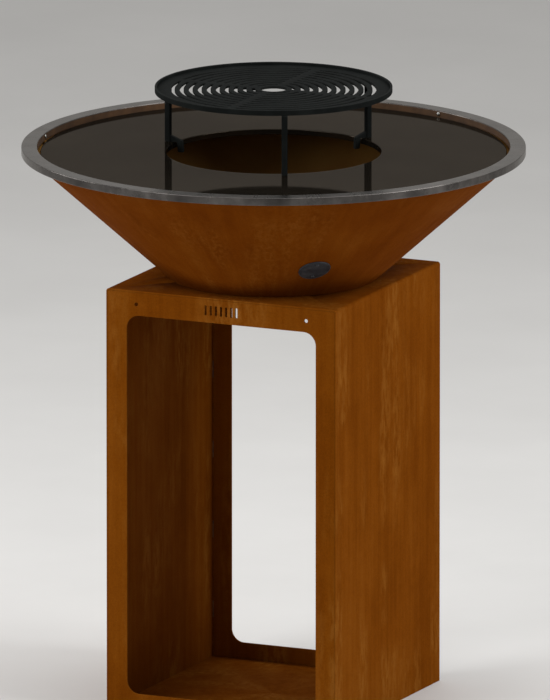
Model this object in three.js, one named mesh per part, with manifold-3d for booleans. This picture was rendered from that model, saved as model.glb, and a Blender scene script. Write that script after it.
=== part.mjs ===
// Wood-fired brazier: a box base with a wood bay, a conical fire bowl with a steel collar,
// a ring-shaped cooking plate, and a slotted grate that stands on the plate on three legs.
// Millimetres, +Z up. The origin is the middle of the base's underside, and the front is -Y.

import * as THREE from 'three';
import { mergeVertices } from 'three/addons/utils/BufferGeometryUtils.js';
import Module from 'manifold-3d';

const wasm = await Module();
wasm.setup();

// ---------- Driving dimensions ----------

const GAP = 0.3; // clearance between pieces that touch
const SHEET = 3; // thickness of the folded and rolled sheet
const ROUND = 96; // facets in a full turn of a large round piece
const SMALL_ROUND = 16; // facets in a full turn of a hole or a screw

// Base
const BASE_WIDTH = 450;
const BASE_HEIGHT = 770;
const BASE_BEND = 5; // outer radius of the shell's two folds
const BAY_SIDE = 40; // frame left beside the bay's opening
const BAY_TOP = 45; // frame left above it
const BAY_BOTTOM = 33; // frame left below it
const BAY_CORNER = 24;
const RAIL_HOLE_X = 166;
const RAIL_HOLE_DROP = 24.6; // below the top of the base
const RAIL_HOLE_RADIUS = 3.5;
const VENT_COUNT = 7; // upright slots in the middle of the front's top rail
const VENT_PITCH = 10;
const VENT_WIDTH = 4;
const VENT_HEIGHT = 18;
const VENT_CORNER = 1.5;
const VENT_DROP = 23;

// Bowl
const RIM_HEIGHT = 1006;
const RIM_RADIUS = 450;
const BOWL_FOOT_RADIUS = 187;
const BOWL_FLOOR_THICKNESS = 4;
const DRAIN_RADIUS = 10;
const CONE_SLOPE = (RIM_RADIUS - BOWL_FOOT_RADIUS) / (RIM_HEIGHT - BASE_HEIGHT); // radius per height
const CONE_WALL = SHEET * Math.hypot(1, CONE_SLOPE); // the sheet's thickness measured level

// Collar
const COLLAR_WIDTH = 28;
const COLLAR_SKIRT = 12;
const COLLAR_LIP = 13.5;
const COLLAR_LIP_THICKNESS = 2.5;
const COLLAR_INNER = RIM_RADIUS - COLLAR_WIDTH;

// Cooking plate
const PLATE_RADIUS = 416;
const PLATE_HOLE = 192;
const PLATE_THICKNESS = 10;
const PLATE_TOP = RIM_HEIGHT - 10.5;
const PLATE_UNDER = PLATE_TOP - PLATE_THICKNESS;

// Lugs and collar screws, at three places round the rim
const LUG_ANGLES = [70, 190, 310];
const LUG_THICKNESS = 8;
const LUG_INNER = 385;
const LUG_NOSE = 10; // depth of its inner edge
const LUG_DEPTH = 20; // depth of the lug below its shelf, at the cone
const LUG_SHELF_END = PLATE_RADIUS + 1.5;
const SCREW_HEIGHT = RIM_HEIGHT - 6.2;
const SCREW_HEAD_RADIUS = 3.6;
const SCREW_HEAD_RISE = 2.6;
const SCREW_RADIUS = 2;
const SCREW_LENGTH = 14;

// Bowl fixings
const BOLT_OFFSET = 95;
const BOLT_RADIUS = 4;
const BOLT_HOLE = 4.5;
const BOLT_FLATS = 13;
const BOLT_HEAD = 5.3;
const BOLT_REACH = 26; // length of the shank
const NUT_HEIGHT = 6.5;
const WASHER_RADIUS = 8;
const WASHER_THICKNESS = 1.6;

// Badge
const BADGE_ANGLE = -49;
const BADGE_HEIGHT = 833;
const BADGE_RADIUS = 29;
const BADGE_THICKNESS = 2;
const RIVET_SPACING = 40;
const RIVET_RADIUS = 2;
const RIVET_HEAD_RADIUS = 3.6;
const RIVET_HEAD_RISE = 1.8;

// Grate
const GRATE_TOP = PLATE_TOP + 119;
const BAND_RADIUS = 212;
const BAND_THICKNESS = 4;
const BAND_HEIGHT = 10;
const DISC_THICKNESS = 5;
const SLOT_RINGS = 10;
const FIRST_SLOT_RADIUS = 36;
const SLOT_PITCH = 16;
const SLOT_WIDTH = 7;
const BRIDGE_WIDTH = 14;
const DISC_HOLE = 24;
const LEG_ANGLES = [180, 60, 300];
const LEG_SIZE = 10;
const FOOT_THICKNESS = 6;

// ---------- Materials ----------

const finish = (color, roughness, metalness) =>
  new THREE.MeshStandardMaterial({ color, roughness, metalness });
const weathering = () => finish(0x6d3c12, 0.85, 0.2);
const darkWeathering = () => finish(0x4a290d, 0.9, 0.2);
const brushedSteel = () => finish(0x8d8a84, 0.4, 0.9);
const seasonedSteel = () => finish(0x3b3734, 0.25, 0.9);
const blackSteel = () => finish(0x24241f, 0.5, 0.7);
const zincSteel = () => finish(0x9a9a98, 0.35, 0.9);
const bluedSteel = () => finish(0x2b3440, 0.5, 0.6);

// ---------- Shape helpers ----------

// A closed geometry as a solid for joining and cutting, without its zero-area triangles.
function solidOf(geometry) {
  const plain = geometry.clone();
  plain.deleteAttribute('normal');
  plain.deleteAttribute('uv');
  const merged = mergeVertices(plain, 1e-4);
  const index = merged.index.array;
  const triangles = [];
  for (let i = 0; i < index.length; i += 3) {
    const [a, b, c] = [index[i], index[i + 1], index[i + 2]];
    if (a !== b && b !== c && c !== a) {
      triangles.push(a, b, c);
    }
  }
  return new wasm.Manifold(
    new wasm.Mesh({
      numProp: 3,
      vertProperties: new Float32Array(merged.attributes.position.array),
      triVerts: new Uint32Array(triangles),
    }),
  );
}

// A solid back as a geometry.
function geometryOf(solid) {
  const mesh = solid.getMesh();
  const geometry = new THREE.BufferGeometry();
  geometry.setAttribute('position', new THREE.BufferAttribute(mesh.vertProperties, 3));
  geometry.setIndex(new THREE.BufferAttribute(mesh.triVerts, 1));
  geometry.computeVertexNormals();
  return geometry;
}

// One geometry less several others.
function cut(geometry, tools) {
  let solid = solidOf(geometry);
  for (const tool of tools) {
    solid = solid.subtract(solidOf(tool));
  }
  return geometryOf(solid);
}

// Several geometries joined into one.
function join(geometries) {
  let solid = solidOf(geometries[0]);
  for (const other of geometries.slice(1)) {
    solid = solid.add(solidOf(other));
  }
  return geometryOf(solid);
}

// A profile of [radius, height] points turned about Z. It runs anticlockwise, radius to the right.
function turned(profile, facets) {
  const points = profile.map(([radius, height]) => new THREE.Vector2(radius, height));
  return new THREE.LatheGeometry(points, facets).rotateX(Math.PI / 2);
}

// A ring or hollow piece: a profile that closes on itself, turned about Z.
const turnedRing = (profile, facets) => turned([...profile, profile[0]], facets);

// A solid rod along Z from one height to another.
function rod(radius, low, high, facets = SMALL_ROUND) {
  return turned([[0, low], [radius, low], [radius, high], [0, high]], facets);
}

// A flat piece cut from plate: an outline in the X-Z plane, with its thickness along Y.
function uprightPlate(outline, thickness) {
  const settings = { depth: thickness, bevelEnabled: false, curveSegments: 3 };
  return new THREE.ExtrudeGeometry(outline, settings).rotateX(Math.PI / 2).translate(0, thickness / 2, 0);
}

// A shape through straight corners.
const outlineOf = (corners) => new THREE.Shape(corners.map(([x, y]) => new THREE.Vector2(x, y)));

// A round hole, drawn as two half circles.
function roundHole(x, y, radius) {
  const path = new THREE.Path();
  path.absarc(x, y, radius, 0, Math.PI, false);
  path.absarc(x, y, radius, Math.PI, 2 * Math.PI, false);
  return path;
}

// A rectangular hole with round corners.
function roundedRectangle(left, bottom, right, top, radius) {
  const path = new THREE.Path();
  const quarter = Math.PI / 2;
  path.moveTo(left + radius, bottom);
  path.lineTo(right - radius, bottom);
  path.absarc(right - radius, bottom + radius, radius, -quarter, 0, false);
  path.lineTo(right, top - radius);
  path.absarc(right - radius, top - radius, radius, 0, quarter, false);
  path.lineTo(left + radius, top);
  path.absarc(left + radius, top - radius, radius, quarter, 2 * quarter, false);
  path.lineTo(left, bottom + radius);
  path.absarc(left + radius, bottom + radius, radius, 2 * quarter, 3 * quarter, false);
  return path;
}

const radians = THREE.MathUtils.degToRad;
const coneRadius = (height) => RIM_RADIUS - CONE_SLOPE * (RIM_HEIGHT - height);

// ---------- The scene ----------

const brazier = new THREE.Group();

function add(name, geometry, material, parent = brazier) {
  const mesh = new THREE.Mesh(geometry, material);
  mesh.name = name;
  parent.add(mesh);
  return mesh;
}

// A group turned about Z, for pieces drawn along +X.
function turnedGroup(angle) {
  const group = new THREE.Group();
  group.rotation.z = radians(angle);
  brazier.add(group);
  return group;
}

// ---------- Base ----------

const half = BASE_WIDTH / 2;
const boltPlaces = [[1, 1], [-1, 1], [-1, -1], [1, -1]].map(([x, y]) => [x * BOLT_OFFSET, y * BOLT_OFFSET]);

// Rods that cut the holes where the bowl's floor lies on the base.
const drill = (radius) => rod(radius, BASE_HEIGHT - 9, BASE_HEIGHT + 9);
const boltHoles = () => boltPlaces.map(([x, y]) => drill(BOLT_HOLE).translate(x, y, 0));

// Shell: one sheet folded over the left side, the top and the right side.
function baseShell() {
  const quarter = Math.PI / 2;
  const bendX = half - BASE_BEND;
  const bendZ = BASE_HEIGHT - BASE_BEND;
  const innerBend = BASE_BEND - SHEET;
  const outline = new THREE.Shape();
  outline.moveTo(half - SHEET, 0);
  outline.lineTo(half, 0);
  outline.lineTo(half, bendZ);
  outline.absarc(bendX, bendZ, BASE_BEND, 0, quarter, false);
  outline.lineTo(-bendX, BASE_HEIGHT);
  outline.absarc(-bendX, bendZ, BASE_BEND, quarter, 2 * quarter, false);
  outline.lineTo(-half, 0);
  outline.lineTo(SHEET - half, 0);
  outline.lineTo(SHEET - half, bendZ);
  outline.absarc(-bendX, bendZ, innerBend, 2 * quarter, quarter, true);
  outline.lineTo(bendX, BASE_HEIGHT - SHEET);
  outline.absarc(bendX, bendZ, innerBend, quarter, 0, true);
  return cut(uprightPlate(outline, BASE_WIDTH), [...boltHoles(), drill(DRAIN_RADIUS + 2)]);
}

// Frame: an upright sheet that sits inside the shell, with the bay's opening in it.
function bayFrame() {
  const side = half - SHEET - GAP;
  const top = BASE_HEIGHT - SHEET - GAP;
  const outline = new THREE.Shape();
  outline.moveTo(-side, 0);
  outline.lineTo(side, 0);
  outline.lineTo(side, top - BASE_BEND);
  outline.lineTo(side - BASE_BEND, top);
  outline.lineTo(BASE_BEND - side, top);
  outline.lineTo(-side, top - BASE_BEND);
  const left = BAY_SIDE - half;
  outline.holes.push(roundedRectangle(left, BAY_BOTTOM, -left, BASE_HEIGHT - BAY_TOP, BAY_CORNER));
  return outline;
}

function frontFrame() {
  const outline = bayFrame();
  for (const x of [-RAIL_HOLE_X, RAIL_HOLE_X]) {
    outline.holes.push(roundHole(x, BASE_HEIGHT - RAIL_HOLE_DROP, RAIL_HOLE_RADIUS));
  }
  const ventLow = BASE_HEIGHT - VENT_DROP - VENT_HEIGHT / 2;
  for (let i = 0; i < VENT_COUNT; i += 1) {
    const left = (i - VENT_COUNT / 2) * VENT_PITCH + (VENT_PITCH - VENT_WIDTH) / 2;
    outline.holes.push(
      roundedRectangle(left, ventLow, left + VENT_WIDTH, ventLow + VENT_HEIGHT, VENT_CORNER),
    );
  }
  return uprightPlate(outline, SHEET);
}

const frameY = (BASE_WIDTH - SHEET) / 2;
const floorSide = BASE_WIDTH - 2 * (SHEET + GAP);
add('base_shell', baseShell(), weathering());
add('front_frame', frontFrame(), weathering()).position.y = -frameY;
add('rear_frame', uprightPlate(bayFrame(), SHEET), weathering()).position.y = frameY;
const floorSheet = new THREE.BoxGeometry(floorSide, floorSide, SHEET);
add('base_floor', floorSheet, darkWeathering()).position.z = SHEET / 2;

// ---------- Bowl ----------

const bowlLow = BASE_HEIGHT + GAP;
const coneTop = RIM_HEIGHT - SHEET - GAP;
const badgeDirection = new THREE.Vector3(1, 0, -CONE_SLOPE).normalize();
const badgeTilt = Math.asin(-badgeDirection.z);
const rivetSlope = new THREE.Vector3(CONE_SLOPE, 0, 1).normalize();

// Places a piece drawn along +X, with its root at X = 0, square to the cone at the badge.
function atBadge(geometry, alongSlope, aroundCone) {
  const centre = new THREE.Vector3(coneRadius(BADGE_HEIGHT), 0, BADGE_HEIGHT);
  centre.addScaledVector(rivetSlope, alongSlope);
  return geometry.rotateY(badgeTilt).translate(centre.x, aroundCone, centre.z);
}

// A rod along +X instead of along Z.
const rodAlongX = (radius, low, high, facets) => rod(radius, low, high, facets).rotateY(Math.PI / 2);

const rivetPlaces = [-RIVET_SPACING / 2, RIVET_SPACING / 2];
const rivetHoles = () => rivetPlaces.map((along) =>
  atBadge(rodAlongX(RIVET_RADIUS + GAP, -SHEET - 4, BADGE_THICKNESS + 4), along, 0));

function bowlCone() {
  const wall = turnedRing([
    [coneRadius(bowlLow) - CONE_WALL, bowlLow],
    [coneRadius(bowlLow), bowlLow],
    [coneRadius(coneTop), coneTop],
    [coneRadius(coneTop) - CONE_WALL, coneTop],
  ], ROUND);
  return cut(wall, rivetHoles().map((hole) => hole.rotateZ(radians(BADGE_ANGLE))));
}

function bowlFloor() {
  const radius = coneRadius(bowlLow) - CONE_WALL - GAP;
  const disc = rod(radius, bowlLow, bowlLow + BOWL_FLOOR_THICKNESS, ROUND);
  return cut(disc, [...boltHoles(), drill(DRAIN_RADIUS)]);
}

add('bowl_cone', bowlCone(), weathering());
add('bowl_floor', bowlFloor(), darkWeathering());

// ---------- Badge: a blank round plate that follows the cone, and its two rivets ----------

function badge() {
  const skin = turnedRing([
    [coneRadius(BASE_HEIGHT + 9) + GAP, BASE_HEIGHT + 9],
    [coneRadius(BASE_HEIGHT + 9) + GAP + BADGE_THICKNESS * Math.hypot(1, CONE_SLOPE), BASE_HEIGHT + 9],
    [coneRadius(coneTop) + GAP + BADGE_THICKNESS * Math.hypot(1, CONE_SLOPE), coneTop],
    [coneRadius(coneTop) + GAP, coneTop],
  ], ROUND);
  const punch = atBadge(rodAlongX(BADGE_RADIUS, -20, 20, 40), 0, 0);
  let disc = solidOf(skin).intersect(solidOf(punch));
  for (const hole of rivetHoles()) {
    disc = disc.subtract(solidOf(hole));
  }
  return geometryOf(disc);
}

// A domed head of the given radius and rise on a shank, along +X, with the head's seat at X = seat.
function domedPin(headRadius, rise, shankRadius, seat, tail) {
  const profile = [[0, tail], [shankRadius, tail], [shankRadius, seat], [headRadius, seat]];
  const steps = 4;
  for (let i = 1; i <= steps; i += 1) {
    const angle = (i / steps) * Math.PI / 2;
    profile.push([headRadius * Math.cos(angle), seat + 0.4 + (rise - 0.4) * Math.sin(angle)]);
  }
  profile[profile.length - 1][0] = 0;
  return turned(profile, SMALL_ROUND).rotateY(Math.PI / 2);
}

const badgeGroup = turnedGroup(BADGE_ANGLE);
add('badge', badge(), bluedSteel(), badgeGroup);
rivetPlaces.forEach((along, i) => {
  const seat = BADGE_THICKNESS + 3 * GAP;
  const pin = domedPin(RIVET_HEAD_RADIUS, RIVET_HEAD_RISE, RIVET_RADIUS, seat, -SHEET - 2);
  add(`badge_rivet_${i + 1}`, atBadge(pin, along, 0), zincSteel(), badgeGroup);
});

// ---------- Collar, its screws and the lugs behind it ----------

const screwRoot = COLLAR_INNER - GAP;

function collar() {
  const lipOuter = COLLAR_INNER + COLLAR_LIP_THICKNESS;
  const flangeLow = RIM_HEIGHT - SHEET;
  const ring = turnedRing([
    [COLLAR_INNER, RIM_HEIGHT - COLLAR_LIP],
    [lipOuter, RIM_HEIGHT - COLLAR_LIP],
    [lipOuter, flangeLow],
    [RIM_RADIUS - SHEET, flangeLow],
    [RIM_RADIUS - SHEET, RIM_HEIGHT - COLLAR_SKIRT],
    [RIM_RADIUS, RIM_HEIGHT - COLLAR_SKIRT],
    [RIM_RADIUS, RIM_HEIGHT],
    [COLLAR_INNER, RIM_HEIGHT],
  ], ROUND);
  const holes = LUG_ANGLES.map((angle) =>
    rodAlongX(SCREW_RADIUS + GAP, COLLAR_INNER - 5, COLLAR_INNER + 8)
      .translate(0, 0, SCREW_HEIGHT)
      .rotateZ(radians(angle)));
  return cut(ring, holes);
}

// Lug: a radial plate with a shelf under the cooking plate and an ear behind the collar's lip.
function lug() {
  const shelf = PLATE_UNDER - GAP;
  const step = RIM_HEIGHT - COLLAR_LIP - 1;
  const earInner = COLLAR_INNER + COLLAR_LIP_THICKNESS + GAP;
  const earTop = RIM_HEIGHT - SHEET - GAP;
  const low = shelf - LUG_DEPTH;
  const wallAt = (height) => coneRadius(height) - CONE_WALL - 2 * GAP;
  const outline = outlineOf([
    [LUG_INNER, shelf],
    [LUG_INNER, shelf - LUG_NOSE],
    [wallAt(low), low],
    [wallAt(earTop), earTop],
    [earInner, earTop],
    [earInner, step],
    [LUG_SHELF_END, step],
    [LUG_SHELF_END, shelf],
  ]);
  const hole = rodAlongX(SCREW_RADIUS + GAP, COLLAR_INNER, COLLAR_INNER + 40).translate(0, 0, SCREW_HEIGHT);
  return cut(uprightPlate(outline, LUG_THICKNESS), [hole]);
}

add('collar', collar(), brushedSteel());
LUG_ANGLES.forEach((angle, i) => {
  const group = turnedGroup(angle);
  add(`plancha_lug_${i + 1}`, lug(), darkWeathering(), group);
  const pin = domedPin(SCREW_HEAD_RADIUS, SCREW_HEAD_RISE, SCREW_RADIUS, 0, -SCREW_LENGTH);
  const screw = add(`collar_screw_${i + 1}`, pin.rotateZ(Math.PI), zincSteel(), group);
  screw.position.set(screwRoot, 0, SCREW_HEIGHT);
});

// ---------- Bolts, washers and nuts between the bowl and the base ----------

// A hexagon of the given width across its flats, standing along Z.
const hexagon = (flats, low, high) => rod(flats / Math.sqrt(3), low, high, 6);

const bowlFloorTop = bowlLow + BOWL_FLOOR_THICKNESS;
const washerLow = bowlFloorTop + GAP;
const headLow = washerLow + WASHER_THICKNESS + GAP;
const nutTop = BASE_HEIGHT - SHEET - GAP;

boltPlaces.forEach(([x, y], i) => {
  const number = i + 1;
  const shank = rod(BOLT_RADIUS, headLow - BOLT_REACH, headLow + 1);
  const bolt = join([shank, hexagon(BOLT_FLATS, headLow, headLow + BOLT_HEAD)]);
  const bore = () => rod(BOLT_RADIUS + GAP, nutTop - 20, headLow + 20);
  const washer = cut(rod(WASHER_RADIUS, washerLow, washerLow + WASHER_THICKNESS), [bore()]);
  const nut = cut(hexagon(BOLT_FLATS, nutTop - NUT_HEIGHT, nutTop), [bore()]);
  add(`bowl_bolt_${number}`, bolt, zincSteel()).position.set(x, y, 0);
  add(`bowl_washer_${number}`, washer, zincSteel()).position.set(x, y, 0);
  add(`bowl_nut_${number}`, nut, zincSteel()).position.set(x, y, 0);
});

// ---------- Cooking plate ----------

add('plancha', turnedRing([
  [PLATE_HOLE, PLATE_UNDER],
  [PLATE_RADIUS, PLATE_UNDER],
  [PLATE_RADIUS, PLATE_TOP],
  [PLATE_HOLE, PLATE_TOP],
], ROUND), seasonedSteel());

// ---------- Grate ----------

const bandLow = GRATE_TOP - BAND_HEIGHT;
const bandInner = BAND_RADIUS - BAND_THICKNESS;

// Points along an arc, with both ends included.
function arcPoints(radius, from, to, pieces, [centreX, centreY] = [0, 0]) {
  const points = [];
  for (let i = 0; i <= pieces; i += 1) {
    const angle = from + ((to - from) * i) / pieces;
    points.push(new THREE.Vector2(centreX + radius * Math.cos(angle), centreY + radius * Math.sin(angle)));
  }
  return points;
}

// The points of a whole circle, each once.
const circlePoints = (radius, facets) => arcPoints(radius, 0, 2 * Math.PI, facets).slice(1);

// One slot: a stretch of a ring with round ends.
function slotPath(radius, from, to) {
  const reach = SLOT_WIDTH / 2;
  const pieces = 4 + Math.round(radius / 30);
  const endAt = (angle) => [radius * Math.cos(angle), radius * Math.sin(angle)];
  return new THREE.Path([
    ...arcPoints(radius + reach, from, to, pieces),
    ...arcPoints(reach, to, to + Math.PI, 3, endAt(to)).slice(1, -1),
    ...arcPoints(radius - reach, to, from, pieces),
    ...arcPoints(reach, from + Math.PI, from + 2 * Math.PI, 3, endAt(from)).slice(1, -1),
  ]);
}

function grateDisc() {
  const outline = new THREE.Shape(circlePoints(bandInner - GAP, ROUND));
  outline.holes.push(new THREE.Path(circlePoints(DISC_HOLE, ROUND / 3)));
  for (let ring = 0; ring < SLOT_RINGS; ring += 1) {
    const radius = FIRST_SLOT_RADIUS + ring * SLOT_PITCH;
    const bridge = (BRIDGE_WIDTH + SLOT_WIDTH) / 2 / radius; // half the angle between two slots' ends
    for (let side = 0; side < 4; side += 1) {
      const from = side * Math.PI / 2;
      outline.holes.push(slotPath(radius, from + bridge, from + Math.PI / 2 - bridge));
    }
  }
  const settings = { depth: DISC_THICKNESS, bevelEnabled: false };
  return new THREE.ExtrudeGeometry(outline, settings).translate(0, 0, bandLow);
}

// Foot: a gusset inside the leg that sits on the cooking plate, with a finger down in its hole.
function foot() {
  const leg = BAND_RADIUS - LEG_SIZE - GAP;
  const seat = PLATE_TOP + GAP;
  const outline = outlineOf([
    [leg, seat],
    [leg, seat + 12],
    [PLATE_HOLE - 14, seat + 3],
    [PLATE_HOLE - 15.5, seat - 18],
    [PLATE_HOLE - 5, seat - 18],
    [PLATE_HOLE - 3, seat],
  ]);
  return uprightPlate(outline, FOOT_THICKNESS);
}

add('grate_plate', grateDisc(), blackSteel());
add('grate_band', turnedRing([
  [bandInner, bandLow],
  [BAND_RADIUS, bandLow],
  [BAND_RADIUS, GRATE_TOP],
  [bandInner, GRATE_TOP],
], ROUND), blackSteel());

LEG_ANGLES.forEach((angle, i) => {
  const group = turnedGroup(angle);
  const low = PLATE_TOP + GAP;
  const height = bandLow - GAP - low;
  const bar = new THREE.BoxGeometry(LEG_SIZE, LEG_SIZE, height);
  const leg = add(`grate_leg_${i + 1}`, bar, blackSteel(), group);
  leg.position.set(BAND_RADIUS - LEG_SIZE / 2, 0, low + height / 2);
  add(`grate_foot_${i + 1}`, foot(), blackSteel(), group);
});

export default brazier;
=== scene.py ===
"""The finished look of the brazier: a weathered box base and cone bowl, a steel collar,
a seasoned cooking plate, and a blackened slotted grate on three legs. Metres, +Z up, front at -Y."""

import math

import bpy
import numpy as np
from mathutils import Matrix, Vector
from mathutils.geometry import delaunay_2d_cdt


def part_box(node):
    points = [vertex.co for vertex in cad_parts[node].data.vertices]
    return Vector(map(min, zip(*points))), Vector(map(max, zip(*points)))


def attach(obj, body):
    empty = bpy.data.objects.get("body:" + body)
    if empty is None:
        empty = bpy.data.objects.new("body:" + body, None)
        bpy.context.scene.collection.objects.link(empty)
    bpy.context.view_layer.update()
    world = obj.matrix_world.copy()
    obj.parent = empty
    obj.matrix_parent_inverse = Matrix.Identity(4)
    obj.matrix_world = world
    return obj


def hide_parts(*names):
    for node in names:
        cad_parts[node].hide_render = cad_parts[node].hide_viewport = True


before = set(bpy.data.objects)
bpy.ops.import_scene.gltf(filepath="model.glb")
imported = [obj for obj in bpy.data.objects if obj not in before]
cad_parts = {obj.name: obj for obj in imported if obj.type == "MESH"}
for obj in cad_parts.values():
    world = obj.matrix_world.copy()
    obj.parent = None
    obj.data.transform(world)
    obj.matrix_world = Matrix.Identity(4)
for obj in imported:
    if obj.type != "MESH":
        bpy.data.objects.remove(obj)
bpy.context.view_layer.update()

MM = 0.001
TURN = 2 * math.pi
QUARTER = math.pi / 2
GAP = 0.3 * MM  # clearance between pieces that touch


# ---------- Camera ----------

CAMERA_AZIMUTH = math.radians(24.6)  # from straight in front, towards the right side
CAMERA_ELEVATION = math.radians(12.46)
CAMERA_LENS = 1300.0
CAMERA_SENSOR = 36.0
VIEW_HEIGHT = 1.2506  # how much of the scene the picture's height takes in, at the object
AIM_HEIGHT = 0.6325
AIM_RIGHT = 0.0025
CAMERA_REACH = 120.0


def placed(name, data):
    """A new object in the scene, from its mesh, camera or lamp."""
    thing = bpy.data.objects.new(name, data)
    bpy.context.scene.collection.objects.link(thing)
    return thing


def make_camera():
    """A long lens a long way off, so that upright and level edges stay parallel."""
    level = math.cos(CAMERA_ELEVATION)
    towards = Vector((
        math.sin(CAMERA_AZIMUTH) * level,
        -math.cos(CAMERA_AZIMUTH) * level,
        math.sin(CAMERA_ELEVATION),
    ))
    right = Vector((math.cos(CAMERA_AZIMUTH), math.sin(CAMERA_AZIMUTH), 0))
    data = bpy.data.cameras.new("camera")
    data.lens = CAMERA_LENS
    data.sensor_width = CAMERA_SENSOR
    data.clip_end = CAMERA_REACH
    camera = placed("camera", data)
    distance = VIEW_HEIGHT * CAMERA_LENS / CAMERA_SENSOR
    camera.location = Vector((0, 0, AIM_HEIGHT)) + right * AIM_RIGHT + towards * distance
    camera.rotation_euler = (-towards).to_track_quat("-Z", "Y").to_euler()
    bpy.context.scene.camera = camera


make_camera()


# ---------- Outlines ----------


def arc(centre, radius, start, end, steps):
    """Points on a circle from one angle to another, both included."""
    angles = np.linspace(start, end, steps + 1)
    return np.stack([centre[0] + radius * np.cos(angles), centre[1] + radius * np.sin(angles)], axis=1)


def rounded(corners, steps=5, guard=0.0):
    """A closed outline through (x, y, radius) corners, each turned with an arc that touches both
    of its edges. With a guard, one more point stands that far beyond each end of the arc,
    so that smooth shading stays at the corner."""
    corners = np.array(corners, float)
    points = corners[:, :2]
    outline = []
    for i, (x, y, radius) in enumerate(corners):
        here = np.array([x, y])
        back = points[i - 1] - here
        ahead = points[(i + 1) % len(points)] - here
        back /= np.linalg.norm(back)
        ahead /= np.linalg.norm(ahead)
        half = 0.5 * math.acos(np.clip(back @ ahead, -1, 1))
        reach = radius / math.tan(half)
        middle = (back + ahead) / np.linalg.norm(back + ahead)
        centre = here + middle * radius / math.sin(half)
        first = here + back * reach - centre
        last = here + ahead * reach - centre
        start = math.atan2(first[1], first[0])
        sweep = math.atan2(first[0] * last[1] - first[1] * last[0], first @ last)
        turn = arc(centre, radius, start, start + sweep, steps)
        if guard:
            turn = np.concatenate([
                [here + back * (reach + guard)], turn, [here + ahead * (reach + guard)],
            ])
        outline.append(turn)
    return np.concatenate(outline)


def rectangle(left, bottom, right, top, radius, steps=8):
    """An anticlockwise rectangle with round corners."""
    return rounded([(left, bottom, radius), (right, bottom, radius), (right, top, radius),
                    (left, top, radius)], steps)


def circle(centre, radius, steps):
    """A whole circle, anticlockwise, each point once."""
    return arc(centre, radius, 0, TURN, steps)[:-1]


def inset(loop, distance):
    """A closed loop moved to its left by a distance, mitred where two edges meet."""
    ahead = np.roll(loop, -1, axis=0) - loop
    ahead /= np.linalg.norm(ahead, axis=1)[:, None]
    behind = np.roll(ahead, 1, axis=0)
    left_ahead = np.stack([-ahead[:, 1], ahead[:, 0]], axis=1)
    left_behind = np.stack([-behind[:, 1], behind[:, 0]], axis=1)
    share = 1 + np.sum(left_ahead * left_behind, axis=1)
    return loop + distance * (left_ahead + left_behind) / share[:, None]


# ---------- Meshes ----------

EDGE_STEPS = 3  # steps in each quarter round of a plate's edge


def grid_faces(rows, columns, close_rows=False):
    """Four-sided faces between neighbours on a grid of points, row by row. Each row is a closed ring."""
    row, column = np.meshgrid(np.arange(rows if close_rows else rows - 1), np.arange(columns),
                              indexing="ij")
    next_row = (row + 1) % rows
    next_column = (column + 1) % columns
    corners = [
        row * columns + column,
        row * columns + next_column,
        next_row * columns + next_column,
        next_row * columns + column,
    ]
    return np.stack(corners, axis=-1).reshape(-1, 4)


def end_fans(rows, columns):
    """Triangles that close the two ends of a tube, row by row, with a first and a last point that
    come after the tube's own points."""
    ring = np.arange(columns)
    following = (ring + 1) % columns
    first = rows * columns
    last = first - columns
    fans = [[first, int(b), int(a)] for a, b in zip(ring, following)]
    return fans + [[first + 1, int(last + a), int(last + b)] for a, b in zip(ring, following)]


def make_piece(name, points, faces, material, nodes=(), body="stand", sharp=32.0, wear=None):
    """One finished piece from points and faces that point outwards, in place, riding on a body. It
    may stand for nodes of the frame."""
    mesh = bpy.data.meshes.new(name)
    mesh.from_pydata(np.asarray(points).tolist(), [], [list(face) for face in faces])
    mesh.validate()
    mesh.materials.append(material)
    mesh.shade_smooth()
    mesh.set_sharp_from_angle(angle=math.radians(sharp))
    if wear is not None:
        layer = mesh.attributes.new("wear", "FLOAT", "POINT")
        layer.data.foreach_set("value", np.asarray(wear, np.float32))
    piece = placed(name, mesh)
    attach(piece, body)
    if nodes:
        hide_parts(*nodes)
    return piece


def turned(profile, steps, closed=True):
    """Points and faces of a profile of (radius, height) turned about Z: each point goes round to
    (radius cos a, radius sin a, height). A radius may be a number or one value for each step
    round. A profile that isn't closed on itself ends on the axis."""
    angles = np.arange(steps) * TURN / steps
    points = np.concatenate([
        np.column_stack([radius * np.cos(angles), radius * np.sin(angles), np.full(steps, height)])
        for radius, height in profile])
    count = len(profile)
    if closed:
        return points, grid_faces(count, steps, close_rows=True).tolist()
    faces = grid_faces(count, steps).tolist() + end_fans(count, steps)
    ends = [[0, 0, profile[0][1]], [0, 0, profile[-1][1]]]
    return np.concatenate([points, ends]), faces


def inside(points, loops):
    """Whether each point is inside an odd number of the closed loops."""
    crossings = np.zeros(len(points), int)
    for loop in loops:
        start = loop[None]
        end = np.roll(loop, -1, axis=0)[None]
        x = points[:, 0][:, None]
        y = points[:, 1][:, None]
        spans = (start[..., 1] > y) != (end[..., 1] > y)
        rise = end[..., 1] - start[..., 1]
        rise = np.where(rise == 0, 1e-12, rise)
        meets = start[..., 0] + (y - start[..., 1]) * (end[..., 0] - start[..., 0]) / rise
        crossings += np.sum(spans & (x < meets), axis=1)
    return crossings % 2 == 1


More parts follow.
